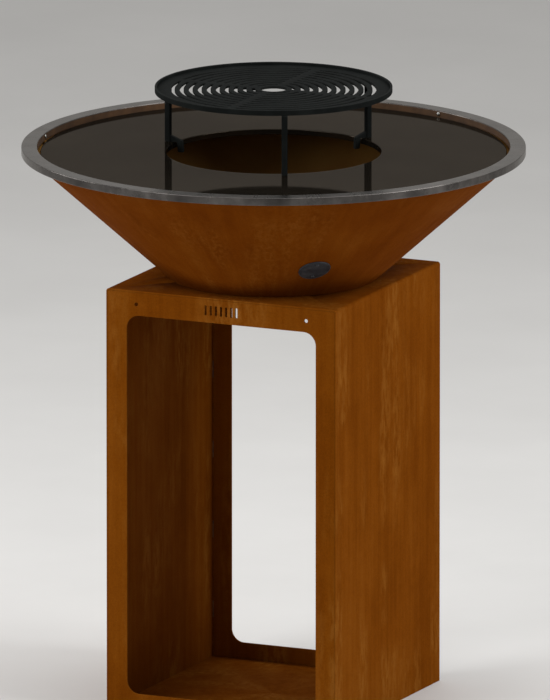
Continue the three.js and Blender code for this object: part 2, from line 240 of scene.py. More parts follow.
def fill(loops):
    """Triangles, anticlockwise, that fill the outer loop and leave the other loops open."""
    points = np.concatenate(loops)
    edges = []
    first = 0
    for loop in loops:
        ring = first + np.arange(len(loop))
        edges += list(zip(ring.tolist(), np.roll(ring, -1).tolist()))
        first += len(loop)
    _, _, triangles, origins, _, _ = delaunay_2d_cdt(
        [Vector(point) for point in points], edges, [], 0, 1e-9)
    triangles = np.array([[origins[v][0] for v in triangle] for triangle in triangles])
    kept = inside(points[triangles].mean(axis=1), loops)
    triangles = triangles[kept]
    a, b, c = (points[triangles[:, i]] for i in range(3))
    area = (b[:, 0] - a[:, 0]) * (c[:, 1] - a[:, 1]) - (b[:, 1] - a[:, 1]) * (c[:, 0] - a[:, 0])
    triangles[area < 0] = triangles[area < 0][:, ::-1]
    return triangles


def cut_plate(outer, holes, thickness, edge, worn=0.0):
    """Points (x, y, height), faces and wear of a flat plate with rounded-over edges. The outer
    loop is anticlockwise and so is each hole, and a hole's loop is reversed here. Each edge goes
    from the lower face to the upper one through two quarter rounds of the given radius. On a tall
    wall the wear fades out over the worn distance from each end."""
    loops = [np.asarray(outer)] + [np.asarray(hole)[::-1] for hole in holes]
    turn = np.linspace(0, QUARTER, EDGE_STEPS + 1)
    inwards = edge * (1 - np.sin(turn))
    heights = edge * (1 - np.cos(turn))
    wall = [edge + worn, thickness - edge - worn] if worn else []
    inwards = np.concatenate([inwards, np.zeros(len(wall)), inwards[::-1]])
    rubbed = np.ones(EDGE_STEPS)
    row_wear = np.concatenate([[0], rubbed, np.zeros(len(wall)), rubbed, [0]])
    heights = np.concatenate([heights, wall, thickness - heights[::-1]])
    rows = len(inwards)
    points, faces, wear, low, high = [], [], [], [], []
    first = 0
    for loop in loops:
        count = len(loop)
        for i in range(rows):
            ring = inset(loop, inwards[i])
            points.append(np.column_stack([ring, np.full(count, heights[i])]))
            wear.append(np.full(count, row_wear[i]))
        faces += (grid_faces(rows, count) + first).tolist()
        low.append(first + np.arange(count))
        high.append(first + (rows - 1) * count + np.arange(count))
        first += rows * count
    triangles = fill([inset(loop, edge) for loop in loops])
    faces += np.concatenate(low)[triangles[:, ::-1]].tolist()
    faces += np.concatenate(high)[triangles].tolist()
    return np.concatenate(points), faces, np.concatenate(wear)


def stand_up(points, back):
    """A plate drawn as (x, height above ground, thickness) stood upright, its lower face at Y = back."""
    return np.column_stack([points[:, 0], back - points[:, 2], points[:, 1]])


def spin(points, angle):
    """Points turned about Z."""
    c, s = math.cos(angle), math.sin(angle)
    return points @ np.array([[c, s, 0], [-s, c, 0], [0, 0, 1]])


# ---------- Materials ----------

RIM_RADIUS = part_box("collar")[1].x
RIM_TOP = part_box("collar")[1].z
COLLAR_INNER = RIM_RADIUS - 28 * MM
FOOT_RADIUS = 187 * MM  # the cone's outside, at the top of the base
SLOPE = (RIM_RADIUS - FOOT_RADIUS) / (RIM_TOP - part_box("base_shell")[1].z)


class Finish:
    """A material and short calls that add its nodes. Patterns read Object coordinates."""

    def __init__(self, name):
        self.material = bpy.data.materials.new(name)
        self.material.use_nodes = True
        self.tree = self.material.node_tree
        self.shader = self.tree.nodes["Principled BSDF"]
        self.place = self.add("ShaderNodeTexCoord").outputs["Object"]

    def add(self, kind, **settings):
        """A new node with some of its settings."""
        node = self.tree.nodes.new(kind)
        for key, value in settings.items():
            setattr(node, key, value)
        return node

    def put(self, value, socket):
        """A link or a plain value for a socket."""
        if isinstance(value, bpy.types.NodeSocket):
            self.tree.links.new(value, socket)
        else:
            socket.default_value = value

    def set(self, socket, value):
        """A link or a plain value for one of the shader's own sockets."""
        self.put(value, self.shader.inputs[socket])

    def noise(self, place, scale, detail=4.0, roughness=0.55):
        """Cloudy noise, from 0 to 1."""
        node = self.add("ShaderNodeTexNoise")
        self.put(place, node.inputs["Vector"])
        node.inputs["Scale"].default_value = scale
        node.inputs["Detail"].default_value = detail
        node.inputs["Roughness"].default_value = roughness
        return node.outputs["Fac"]

    def stretched(self, place, scale):
        """A place scaled along X, Y and Z: a low share draws a pattern out along that axis."""
        node = self.add("ShaderNodeMapping")
        self.put(place, node.inputs["Vector"])
        node.inputs["Scale"].default_value = scale
        return node.outputs["Vector"]

    def maths(self, operation, a, b=0.5):
        """One sum of two numbers, such as MULTIPLY or ADD."""
        node = self.add("ShaderNodeMath", operation=operation)
        self.put(a, node.inputs[0])
        self.put(b, node.inputs[1])
        return node.outputs[0]

    def between(self, value, low, high, new_low=0.0, new_high=1.0):
        """A value taken from one range to another, and held at the ends."""
        node = self.add("ShaderNodeMapRange")
        node.clamp = True
        self.put(value, node.inputs["Value"])
        limits = {"From Min": low, "From Max": high, "To Min": new_low, "To Max": new_high}
        for key, number in limits.items():
            node.inputs[key].default_value = number
        return node.outputs["Result"]

    def blend(self, factor, a, b, mode="MIX"):
        """Colour a with a share of colour b over it."""
        node = self.add("ShaderNodeMix", data_type="RGBA", blend_type=mode)
        self.put(factor, node.inputs[0])
        self.put(a, node.inputs[6])
        self.put(b, node.inputs[7])
        return node.outputs[2]

    def ramp(self, factor, stops):
        """A colour picked by a factor from (position, colour) stops."""
        node = self.add("ShaderNodeValToRGB")
        self.put(factor, node.inputs["Fac"])
        elements = node.color_ramp.elements
        while len(elements) < len(stops):
            elements.new(0.5)
        for element, (position, colour) in zip(elements, stops):
            element.position = position
            element.color = (*colour, 1)
        return node.outputs["Color"]

    def around(self, height_share):
        """A place made of the direction round the Z axis and a share of the height, so that a
        pattern runs up and down a cone without a join."""
        unit = self.add("ShaderNodeVectorMath", operation="NORMALIZE")
        self.put(self.stretched(self.place, (1, 1, 0)), unit.inputs[0])
        out = self.add("ShaderNodeVectorMath", operation="ADD")
        self.put(unit.outputs[0], out.inputs[0])
        self.put(self.stretched(self.place, (0, 0, height_share)), out.inputs[1])
        return out.outputs[0]

    def height(self):
        """The height above the ground."""
        parts = self.add("ShaderNodeSeparateXYZ")
        self.put(self.place, parts.inputs[0])
        return parts.outputs["Z"]

    def out_from_axis(self):
        """The distance from the Z axis."""
        flat = self.stretched(self.place, (1, 1, 0))
        node = self.add("ShaderNodeVectorMath", operation="LENGTH")
        self.put(flat, node.inputs[0])
        return node.outputs["Value"]

    def ash(self, clouds):
        """How much ash lies on a spot: none on the cone's outside, and cloudy on its inside."""
        rise = self.maths("MULTIPLY", self.height(), SLOPE)
        skin = self.maths("ADD", rise, RIM_RADIUS - SLOPE * RIM_TOP)
        depth = self.maths("SUBTRACT", skin, self.out_from_axis())
        inner = self.between(depth, 1.5 * MM, 3 * MM)
        return self.maths("MULTIPLY", inner, self.between(clouds, 0.36, 0.64, 0.6, 0.9))

    def edge_wear(self):
        """The mesh's own mark of its rounded edges, from 0 to 1."""
        return self.add("ShaderNodeAttribute", attribute_name="wear").outputs["Fac"]

    def bump(self, height, strength, distance, normal=None):
        """A normal bent by a height, over another normal if there is one."""
        node = self.add("ShaderNodeBump")
        node.inputs["Strength"].default_value = strength
        node.inputs["Distance"].default_value = distance
        self.put(height, node.inputs["Height"])
        if normal is not None:
            self.put(normal, node.inputs["Normal"])
        return node.outputs["Normal"]


def weathering_steel(name, dark, middle, light, pale, upright):
    """Weathering steel: even orange-brown rust with soft clouds, run marks down the sheet, patches of
    short pale dashes along them, fine grain, pinhole pits, and edges rubbed a little lighter.
    The inside of the bowl is dusted with pale ash."""
    finish = Finish(name)
    clouds = finish.noise(finish.place, 7, 4, 0.55)
    mottle = finish.noise(finish.place, 48, 5, 0.6)
    grain = finish.noise(finish.place, 420, 4, 0.6)
    if upright:
        shares, scales = (0.04, 0.07, 0.05, 0.28), (85, 24, 16, 105)
        places = [finish.stretched(finish.place, (1, 1, share)) for share in shares]
    else:
        shares, scales = (0.7, 1.6, 0.5, 3.0), (18, 5, 7, 42)
        places = [finish.around(share) for share in shares]
    softness = [(5, 0.62), (3, 0.5), (2, 0.5), (4, 0.6)]  # detail and roughness of each
    runs, wide_runs, columns, dashes = [
        finish.noise(place, scale, *soft) for place, scale, soft in zip(places, scales, softness)]
    tone = 0.0
    for pattern, share in [(clouds, 0.34), (mottle, 0.09), (runs, 0.28), (wide_runs, 0.29)]:
        tone = finish.maths("ADD", finish.maths("MULTIPLY", pattern, share), tone)
    colour = finish.ramp(tone, [(0.4, dark), (0.5, middle), (0.6, light)])
    patches = finish.between(finish.noise(finish.place, 5.5, 2, 0.5), 0.4, 0.54)
    patches = finish.maths("MULTIPLY", patches, finish.between(columns, 0.46, 0.6))
    bloom = finish.maths("MULTIPLY", finish.between(dashes, 0.42, 0.62, 0.05, 1.0), patches)
    colour = finish.blend(bloom, colour, (*pale, 1))
    colour = finish.blend(finish.between(grain, 0.3, 0.7, 0.4, 0), colour, (0.5, 0.43, 0.4, 1), "MULTIPLY")
    pits = finish.between(finish.noise(finish.place, 900, 2, 0.5), 0.64, 0.76, 0, 0.5)
    colour = finish.blend(pits, colour, (0.4, 0.33, 0.3, 1), "MULTIPLY")
    rubbed = finish.maths("MULTIPLY", finish.edge_wear(), finish.between(mottle, 0.35, 0.65, 0.1, 0.5))
    colour = finish.blend(rubbed, colour, (*pale, 1))
    if not upright:
        colour = finish.blend(finish.ash(clouds), colour, (0.3, 0.158, 0.042, 1))
    finish.set("Base Color", colour)
    finish.set("Roughness", finish.between(tone, 0.4, 0.6, 0.95, 0.8))
    finish.set("Specular IOR Level", 0.01)
    rough = finish.bump(grain, 0.3, 0.0005)
    finish.set("Normal", finish.bump(mottle, 0.03, 0.002, rough))
    return finish.material


def collar_steel():
    """Plain steel with fine brush lines round the axis and broad cloudy handling marks. Below its top
    edge the lip's inner wall carries painted shade: dull rust-brown and not metallic."""
    finish = Finish("collar_steel")
    radius = finish.out_from_axis()
    height = finish.height()
    across = finish.add("ShaderNodeCombineXYZ")
    finish.put(radius, across.inputs["X"])
    finish.put(height, across.inputs["Y"])
    finish.put(finish.noise(finish.around(0.1), 6, 2), across.inputs["Z"])
    brush = finish.noise(finish.stretched(across.outputs[0], (1, 1, 0.004)), 1500, 3, 0.7)
    marks = finish.noise(finish.around(2), 7, 4, 0.6)
    cloud = finish.noise(finish.place, 30, 4, 0.6)
    tone = finish.maths("ADD", finish.maths("MULTIPLY", marks, 0.6), finish.maths("MULTIPLY", cloud, 0.4))
    colour = finish.ramp(tone, [(0.36, (0.066, 0.061, 0.058)), (0.5, (0.105, 0.097, 0.092)),
                                (0.64, (0.165, 0.153, 0.145))])
    colour = finish.blend(finish.between(brush, 0.35, 0.65, 0.2, 0), colour, (0.6, 0.6, 0.6, 1), "MULTIPLY")
    # Painted shade: below its top edge the lip's inner wall is painted dull rust-brown and made not
    # metallic.
    wall = finish.between(radius, COLLAR_INNER + 0.5 * MM, COLLAR_INNER + 1.1 * MM, 1, 0)
    under = finish.between(height, RIM_TOP - 2.2 * MM, RIM_TOP - 0.8 * MM, 1, 0)
    shade_band = finish.maths("MULTIPLY", wall, under)
    shade_band_colour = finish.ramp(cloud, [(0.3, (0.05, 0.021, 0.006)), (0.7, (0.11, 0.05, 0.016))])
    finish.set("Base Color", finish.blend(shade_band, colour, shade_band_colour))
    finish.set("Metallic", finish.between(shade_band, 0, 1, 1, 0))
    finish.set("Specular Tint", (1.0, 0.985, 0.965, 1))
    finish.set("Roughness", finish.maths("MAXIMUM", finish.between(marks, 0.3, 0.7, 0.2, 0.34),
                                       finish.maths("MULTIPLY", shade_band, 0.8)))
    finish.set("Normal", finish.bump(brush, 0.08, 0.0003))
    return finish.material


def plancha_steel():
    """Seasoned cooking steel: dark and close to a mirror, with a faint brown oil film, slow tone
    changes and hair-fine scratches."""
    finish = Finish("plancha_steel")
    film = finish.noise(finish.place, 5, 4, 0.55)
    spots = finish.noise(finish.place, 75, 5, 0.6)
    colour = finish.ramp(film, [(0.3, (0.038, 0.031, 0.024)), (0.5, (0.045, 0.037, 0.028)),
                                (0.7, (0.054, 0.044, 0.033))])
    colour = finish.blend(finish.between(spots, 0.4, 0.7, 0, 0.18), colour, (0.5, 0.45, 0.4, 1), "MULTIPLY")
    scratches = finish.noise(finish.stretched(finish.place, (1, 14, 1)), 190, 3, 0.7)
    finish.set("Base Color", colour)
    finish.set("Metallic", 0.8)
    finish.set("Specular IOR Level", 0.1)
    finish.set("Specular Tint", (0.312, 0.29, 0.267, 1))
    finish.set("Roughness", finish.between(spots, 0.3, 0.7, 0.02, 0.045))
    finish.set("Normal", finish.bump(scratches, 0.006, 0.0002))
    return finish.material


def grate_steel():
    """Blackened steel: near black with a grey-green cast, a fine cast grain, and edges rubbed grey."""
    finish = Finish("grate_steel")
    cloud = finish.noise(finish.place, 24, 5, 0.6)
    grain = finish.noise(finish.place, 650, 3, 0.6)
    colour = finish.ramp(cloud, [(0.3, (0.0063, 0.0071, 0.0068)), (0.5, (0.0085, 0.0096, 0.0093)),
                                 (0.7, (0.0117, 0.0132, 0.0126))])
    rubbed = finish.maths("MULTIPLY", finish.edge_wear(), finish.between(cloud, 0.35, 0.6, 0.25, 0.8))
    colour = finish.blend(rubbed, colour, (0.0185, 0.0198, 0.019, 1))
    finish.set("Base Color", colour)
    finish.set("Specular IOR Level", 0.012)
    finish.set("Roughness", finish.between(cloud, 0.3, 0.7, 0.5, 0.68))
    finish.set("Normal", finish.bump(grain, 0.18, 0.0003))
    return finish.material


def bright_fixing():
    """Zinc plating: bright, faintly blue and yellow in patches, with small dull spots."""
    finish = Finish("bright_fixing")
    cloud = finish.noise(finish.place, 220, 4, 0.6)
    spots = finish.noise(finish.place, 1400, 3, 0.6)
    colour = finish.ramp(cloud, [(0.35, (0.34, 0.36, 0.38)), (0.65, (0.5, 0.49, 0.44))])
    colour = finish.blend(finish.between(spots, 0.55, 0.7, 0, 0.5), colour, (0.5, 0.48, 0.45, 1), "MULTIPLY")
    finish.set("Base Color", colour)
    finish.set("Metallic", 1.0)
    finish.set("Roughness", finish.between(spots, 0.3, 0.7, 0.2, 0.4))
    finish.set("Normal", finish.bump(spots, 0.05, 0.0002))
    return finish.material


def blued_steel():
    """Dark blue-grey plate, satin, with a cloudy oxide tone and paler rubbed edges."""
    finish = Finish("blued_steel")
    cloud = finish.noise(finish.place, 70, 5, 0.6)
    grain = finish.noise(finish.place, 900, 3, 0.6)
    colour = finish.ramp(cloud, [(0.32, (0.014, 0.015, 0.018)), (0.5, (0.024, 0.026, 0.03)),
                                 (0.68, (0.04, 0.042, 0.046))])
    colour = finish.blend(finish.maths("MULTIPLY", finish.edge_wear(), 0.5), colour, (0.09, 0.085, 0.08, 1))
    finish.set("Base Color", colour)
    finish.set("Specular IOR Level", 0.3)
    finish.set("Roughness", finish.between(cloud, 0.3, 0.7, 0.4, 0.6))
    finish.set("Normal", finish.bump(grain, 0.12, 0.0003))
    return finish.material


def weld_steel():
    """Rusted weld metal: darker and lumpier than the sheet."""
    finish = Finish("weld_steel")
    cloud = finish.noise(finish.place, 160, 5, 0.65)
    colour = finish.ramp(cloud, [(0.35, (0.06, 0.02, 0.006)), (0.65, (0.17, 0.06, 0.012))])
    finish.set("Base Color", colour)
    finish.set("Roughness", finish.between(cloud, 0.3, 0.7, 0.6, 0.85))
    finish.set("Normal", finish.bump(cloud, 0.4, 0.0006))
    return finish.material


PANEL_RUST = weathering_steel(
    "panel_rust", (0.15, 0.038, 0.0016), (0.182, 0.049, 0.0024), (0.21, 0.061, 0.004),
    (0.248, 0.086, 0.0105), upright=True)
# The bowl, its floor and its lugs take rust that is darker than the panels': the bowl's own rust, darkened
# further as painted shade for the cone that faces down.
BOWL_RUST_WITH_PAINTED_SHADE = weathering_steel(
    "bowl_rust_with_painted_shade", (0.124, 0.0278, 0.0013), (0.148, 0.0352, 0.0017), (0.169, 0.0446, 0.0028),
    (0.178, 0.051, 0.0054), upright=False)
COLLAR_STEEL = collar_steel()
PLANCHA_STEEL = plancha_steel()
GRATE_STEEL = grate_steel()
BRIGHT_FIXING = bright_fixing()
BLUED_STEEL = blued_steel()
WELD_STEEL = weld_steel()


# ---------- Base ----------

shell_low, shell_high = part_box("base_shell")
frame_low, frame_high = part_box("front_frame")
rear_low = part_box("rear_frame")[0]
SHEET = frame_high.y - frame_low.y
HALF_BASE = shell_high.x
BASE_TOP = shell_high.z
BAY_SIDE = 40 * MM
BAY_TOP = 45 * MM
BAY_BOTTOM = 33 * MM
BAY_CORNER = 24 * MM
FOLD = 5 * MM  # outer radius of the shell's folds
SHEET_EDGE = 0.5 * MM  # rounding of a cut sheet's edge
SHELL_FOOT = 0.8 * MM  # rounding of the shell's two lower ends
RAIL_HOLE_X = 166 * MM
RAIL_HOLE_DROP = 24.6 * MM
RAIL_HOLE_RADIUS = 3.5 * MM
VENT_COUNT = 7
VENT_PITCH = 10 * MM
VENT_WIDTH = 4 * MM
VENT_HEIGHT = 18 * MM
VENT_DROP = 23 * MM
BOLT_OFFSET = (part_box("bowl_bolt_1")[0].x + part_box("bowl_bolt_1")[1].x) / 2
BOLT_PLACES = [(BOLT_OFFSET, BOLT_OFFSET), (-BOLT_OFFSET, BOLT_OFFSET),
               (-BOLT_OFFSET, -BOLT_OFFSET), (BOLT_OFFSET, -BOLT_OFFSET)]
BOLT_HOLE = 4.5 * MM
DRAIN_RADIUS = 10 * MM


def drill(piece, holes, low, high):
    """Cuts round holes (x, y, radius) through a piece, between two heights."""
    tools = []
    for x, y, radius in holes:
        points, faces = turned([(radius, low), (radius, high)], 48, closed=False)
        mesh = bpy.data.meshes.new("drill")
        mesh.from_pydata((points + [x, y, 0]).tolist(), [], faces)
        tool = placed("drill", mesh)
        cut = piece.modifiers.new("drill", "BOOLEAN")
        cut.operation = "DIFFERENCE"
        cut.solver = "EXACT"
        cut.object = tool
        tools.append(tool)
    bpy.context.view_layer.update()
    shown = piece.evaluated_get(bpy.context.evaluated_depsgraph_get())
    result = bpy.data.meshes.new_from_object(shown)
    piece.modifiers.clear()
    piece.data = result
    for tool in tools:
        bpy.data.objects.remove(tool)


def make_shell():
    """One sheet folded over the left side, the top and the right side, as an outline in the
    front's plane carried from front to back."""
    inner = HALF_BASE - SHEET
    under = BASE_TOP - SHEET
    outline = rounded([
        (inner, 0, SHELL_FOOT), (HALF_BASE, 0, SHELL_FOOT), (HALF_BASE, BASE_TOP, FOLD),
        (-HALF_BASE, BASE_TOP, FOLD), (-HALF_BASE, 0, SHELL_FOOT), (-inner, 0, SHELL_FOOT),
        (-inner, under, FOLD - SHEET), (inner, under, FOLD - SHEET),
    ], steps=8)
    depth = shell_high.y - shell_low.y
    points, faces, wear = cut_plate(outline, [], depth, SHEET_EDGE, worn=3 * MM)
    piece = make_piece("shell_sheet", stand_up(points, shell_high.y), faces, PANEL_RUST, ["base_shell"],
                       wear=wear)
    holes = [(x, y, BOLT_HOLE) for x, y in sorted(BOLT_PLACES)] + [(0, 0, DRAIN_RADIUS + 2 * MM)]
    drill(piece, holes, BASE_TOP - 20 * MM, BASE_TOP + 20 * MM)


def make_bay_sheet(name, node, holes):
    """An upright sheet inside the shell, with the bay's opening and any further holes."""
    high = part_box(node)[1]
    outline = rectangle(-high.x, 0, high.x, high.z, 2.5 * MM, 6)
    opening = rectangle(BAY_SIDE - HALF_BASE, BAY_BOTTOM, HALF_BASE - BAY_SIDE, BASE_TOP - BAY_TOP,
                        BAY_CORNER, 20)
    points, faces, wear = cut_plate(outline, [opening] + holes, SHEET, SHEET_EDGE)
    make_piece(name, stand_up(points, high.y), faces, PANEL_RUST, [node], wear=wear)


def front_holes():
    """Two round holes and a row of upright slots in the front's top rail."""
    rail = BASE_TOP - RAIL_HOLE_DROP
    holes = [circle((side * RAIL_HOLE_X, rail), RAIL_HOLE_RADIUS, 32) for side in (-1, 1)]
    low = BASE_TOP - VENT_DROP - VENT_HEIGHT / 2
    for i in range(VENT_COUNT):
        left = (i - VENT_COUNT / 2) * VENT_PITCH + (VENT_PITCH - VENT_WIDTH) / 2
        holes.append(rectangle(left, low, left + VENT_WIDTH, low + VENT_HEIGHT, 1.5 * MM, 5))
    return holes


def make_bay_floor():
    """The level sheet that the firewood lies on."""
    low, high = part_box("base_floor")
    outline = rectangle(low.x, low.y, high.x, high.y, 1 * MM, 3)
    points, faces, wear = cut_plate(outline, [], high.z - low.z, SHEET_EDGE)
    make_piece("bay_floor", points, faces, PANEL_RUST, ["base_floor"], wear=wear)


make_shell()
make_bay_sheet("front_sheet", "front_frame", front_holes())
make_bay_sheet("rear_sheet", "rear_frame", [])
make_bay_floor()


# ---------- Bowl ----------

cone_low, cone_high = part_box("bowl_cone")
pan_low, pan_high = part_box("bowl_floor")
ROUND = 288  # steps round the large round pieces
LEVEL_WALL = SHEET * math.hypot(1, SLOPE)


def cone_radius(height):
    """The cone's outer radius at a height."""
    return RIM_RADIUS - SLOPE * (RIM_TOP - height)


def make_cone():
    """The rolled wall, turned from a slanting section with rounded edges. Rows of points part
    its two long sides."""
    low, high = cone_low.z, cone_high.z
    section = rounded([
        (cone_radius(low) - LEVEL_WALL, low, 0.5 * MM), (cone_radius(low), low, 0.5 * MM),
        (cone_radius(high), high, 0.5 * MM), (cone_radius(high) - LEVEL_WALL, high, 0.5 * MM),
    ], steps=4, guard=2 * MM)
    points, faces = turned(section, ROUND)
    make_piece("bowl_wall", points, faces, BOWL_RUST_WITH_PAINTED_SHADE, ["bowl_cone"])


def make_bowl_floor():
    """The round floor of the bowl, with its drain hole and four bolt holes."""
    outline = circle((0, 0), pan_high.x, ROUND)
    holes = [circle(place, BOLT_HOLE, 32) for place in sorted(BOLT_PLACES)]
    holes.append(circle((0, 0), DRAIN_RADIUS, 48))
    points, faces, wear = cut_plate(outline, holes, pan_high.z - pan_low.z, 0.6 * MM)
    points[:, 2] += pan_low.z
    make_piece("bowl_bottom", points, faces, BOWL_RUST_WITH_PAINTED_SHADE, ["bowl_floor"], wear=wear)


make_cone()
make_bowl_floor()


# ---------- Collar ----------

LIP_DEPTH = 13.5 * MM
LIP_THICKNESS = 2.5 * MM
COLLAR_UNDER = RIM_TOP - SHEET


def make_collar():
    """The ring on the rim: a level top with an outer skirt and an inner lip, turned as one section."""
    inner = COLLAR_INNER
    lip = inner + LIP_THICKNESS
    lip_low = RIM_TOP - LIP_DEPTH
    skirt = RIM_RADIUS - SHEET
    skirt_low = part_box("collar")[0].z
    section = rounded([
        (inner, lip_low, 0.4 * MM), (lip, lip_low, 0.4 * MM), (lip, COLLAR_UNDER, 0.8 * MM),
        (skirt, COLLAR_UNDER, 0.8 * MM), (skirt, skirt_low, 0.4 * MM), (RIM_RADIUS, skirt_low, 0.6 * MM),
        (RIM_RADIUS, RIM_TOP, 1.4 * MM), (inner, RIM_TOP, 1.4 * MM),
    ], steps=5, guard=0.7 * MM)
    points, faces = turned(section, ROUND)
    make_piece("collar_ring", points, faces, COLLAR_STEEL, ["collar"])


make_collar()


# ---------- Cooking plate ----------

plate_low, plate_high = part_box("plancha")
PLATE_HOLE = 192 * MM


def make_cooking_plate():
    """The cooking ring, turned as one section with softened edges."""
    section = rounded([
        (PLATE_HOLE, plate_low.z, 0.8 * MM), (plate_high.x, plate_low.z, 0.8 * MM),
        (plate_high.x, plate_high.z, 1.2 * MM), (PLATE_HOLE, plate_high.z, 1.2 * MM),
    ], steps=5, guard=1.5 * MM)
    points, faces = turned(section, ROUND)
    make_piece("cooking_ring", points, faces, PLANCHA_STEEL, ["plancha"], "plancha")


make_cooking_plate()


# ---------- Grate ----------

disc_low, disc_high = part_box("grate_plate")
band_low, band_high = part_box("grate_band")
BAND_THICKNESS = 4 * MM
SLOT_RINGS = 10
FIRST_SLOT = 36 * MM
SLOT_PITCH = 16 * MM
SLOT_WIDTH = 7 * MM
BRIDGE = 14 * MM
DISC_HOLE = 24 * MM
LEG_ANGLES = [math.radians(a) for a in (180, 60, 300)]
LEG_SIZE = 10 * MM
LEG_LOW = plate_high.z + GAP
LEG_BACK = band_high.x - LEG_SIZE - GAP  # the face of a foot that meets its leg
FOOT_THICKNESS = 6 * MM
FOOT_HEIGHT = 12 * MM
FINGER_DEPTH = 18 * MM  # how far the finger hangs below the leg


def slot(radius, start, end):
    """A stretch of a ring with half-round ends, anticlockwise."""
    reach = SLOT_WIDTH / 2
    steps = 8 + int(radius / (6 * MM))
    at_start = (radius * math.cos(start), radius * math.sin(start))
    at_end = (radius * math.cos(end), radius * math.sin(end))
    return np.concatenate([
        arc((0, 0), radius + reach, start, end, steps),
        arc(at_end, reach, end, end + math.pi, 8)[1:-1],
        arc((0, 0), radius - reach, end, start, steps),
        arc(at_start, reach, start + math.pi, start + TURN, 8)[1:-1],
    ])


def make_disc():
    """The slotted disc: ten rings of four slots, parted by four bridges."""
    holes = [circle((0, 0), DISC_HOLE, 64)]
    for ring in range(SLOT_RINGS):
        radius = FIRST_SLOT + ring * SLOT_PITCH
        bridge = (BRIDGE + SLOT_WIDTH) / 2 / radius
        for side in range(4):
            holes.append(slot(radius, side * QUARTER + bridge, (side + 1) * QUARTER - bridge))
    outline = circle((0, 0), disc_high.x, ROUND)
    points, faces, wear = cut_plate(outline, holes, disc_high.z - disc_low.z, 0.5 * MM)
    points[:, 2] += disc_low.z
    make_piece("slotted_disc", points, faces, GRATE_STEEL, ["grate_plate"], "grate", wear=wear)


def make_band():
    """The flat bar bent round the disc, turned as one section and worn on its rounded corners."""
    inner = band_high.x - BAND_THICKNESS
    section = rounded([
        (inner, band_low.z, 0.5 * MM), (band_high.x, band_low.z, 0.5 * MM),
        (band_high.x, band_high.z, 0.8 * MM), (inner, band_high.z, 0.8 * MM),
    ], steps=4, guard=0.6 * MM)
    points, faces = turned(section, ROUND)
    wear = np.repeat(np.tile([0, 1, 1, 1, 1, 1, 0], 4), ROUND)
    make_piece("disc_rim", points, faces, GRATE_STEEL, ["grate_band"], "grate", wear=wear)


def make_legs():
    """Three square bars with softened corners, and inside each a foot with a finger that reaches
    down into the cooking ring's hole."""
    outer = band_high.x
    bar = rectangle(outer - LEG_SIZE, -LEG_SIZE / 2, outer, LEG_SIZE / 2, 1 * MM, 4)
    foot = rounded([
        (LEG_BACK, LEG_LOW, 1 * MM), (LEG_BACK, LEG_LOW + FOOT_HEIGHT, 1 * MM),
        (PLATE_HOLE - 14 * MM, LEG_LOW + 3 * MM, 3 * MM),
        (PLATE_HOLE - 15.5 * MM, LEG_LOW - FINGER_DEPTH, 2 * MM),
        (PLATE_HOLE - 5 * MM, LEG_LOW - FINGER_DEPTH, 2 * MM),
        (PLATE_HOLE - 3 * MM, LEG_LOW, 1 * MM),
    ], steps=5)
    for i, angle in enumerate(LEG_ANGLES):
        points, faces, wear = cut_plate(bar, [], disc_low.z - GAP - LEG_LOW, 0.5 * MM, worn=2 * MM)
        points[:, 2] += LEG_LOW
        make_piece(f"leg_bar_{i + 1}", spin(points, angle), faces, GRATE_STEEL, [f"grate_leg_{i + 1}"],
                   "grate", wear=wear)
        points, faces, wear = cut_plate(foot, [], FOOT_THICKNESS, 0.5 * MM)
        points = spin(stand_up(points, FOOT_THICKNESS / 2), angle)
        make_piece(f"foot_plate_{i + 1}", points, faces, GRATE_STEEL, [f"grate_foot_{i + 1}"], "grate",
                   wear=wear)


make_disc()
make_band()
make_legs()


# ---------- Lugs and collar screws ----------

LUG_TURNS = [math.radians(a) for a in (70, 190, 310)]
LUG_THICKNESS = 8 * MM
LUG_INNER = 385 * MM
LUG_NOSE = 10 * MM
LUG_DEPTH = 20 * MM
LUG_SHELF_END = plate_high.x + 1.5 * MM
SCREW_DROP = 6.2 * MM
SCREW_HEAD = 3.6 * MM
SOCKET = 1.25 * MM  # half the width of the key's socket


def hexagon(half_width, steps):
    """The radius of a hexagon at each step round, from half its width across the flats."""
    angles = np.arange(steps) * TURN / steps
    return half_width / np.cos((angles + TURN / 12) % (TURN / 6) - TURN / 12)


def make_lugs():
    """Upright plates on the cone's inner wall: each has a shelf under the cooking plate and an ear
    behind the collar's lip."""
    shelf = plate_low.z - GAP
    step = RIM_TOP - LIP_DEPTH - 1 * MM
    ear_inner = COLLAR_INNER + LIP_THICKNESS + GAP
    ear_top = COLLAR_UNDER - GAP
    low = shelf - LUG_DEPTH
    wall = LEVEL_WALL + 2 * GAP
    outline = rounded([
        (LUG_INNER, shelf, 2.5 * MM), (LUG_INNER, shelf - LUG_NOSE, 3 * MM),
        (cone_radius(low) - wall, low, 1 * MM), (cone_radius(ear_top) - wall, ear_top, 1 * MM),
        (ear_inner, ear_top, 1 * MM), (ear_inner, step, 1 * MM),
        (LUG_SHELF_END, step, 1 * MM), (LUG_SHELF_END, shelf, 1 * MM),
    ], steps=4)
    for i, angle in enumerate(LUG_TURNS):
        points, faces, wear = cut_plate(outline, [], LUG_THICKNESS, 0.6 * MM)
        points = spin(stand_up(points, LUG_THICKNESS / 2), angle)
        make_piece(f"plate_lug_{i + 1}", points, faces, BOWL_RUST_WITH_PAINTED_SHADE, [f"plancha_lug_{i + 1}"], wear=wear)


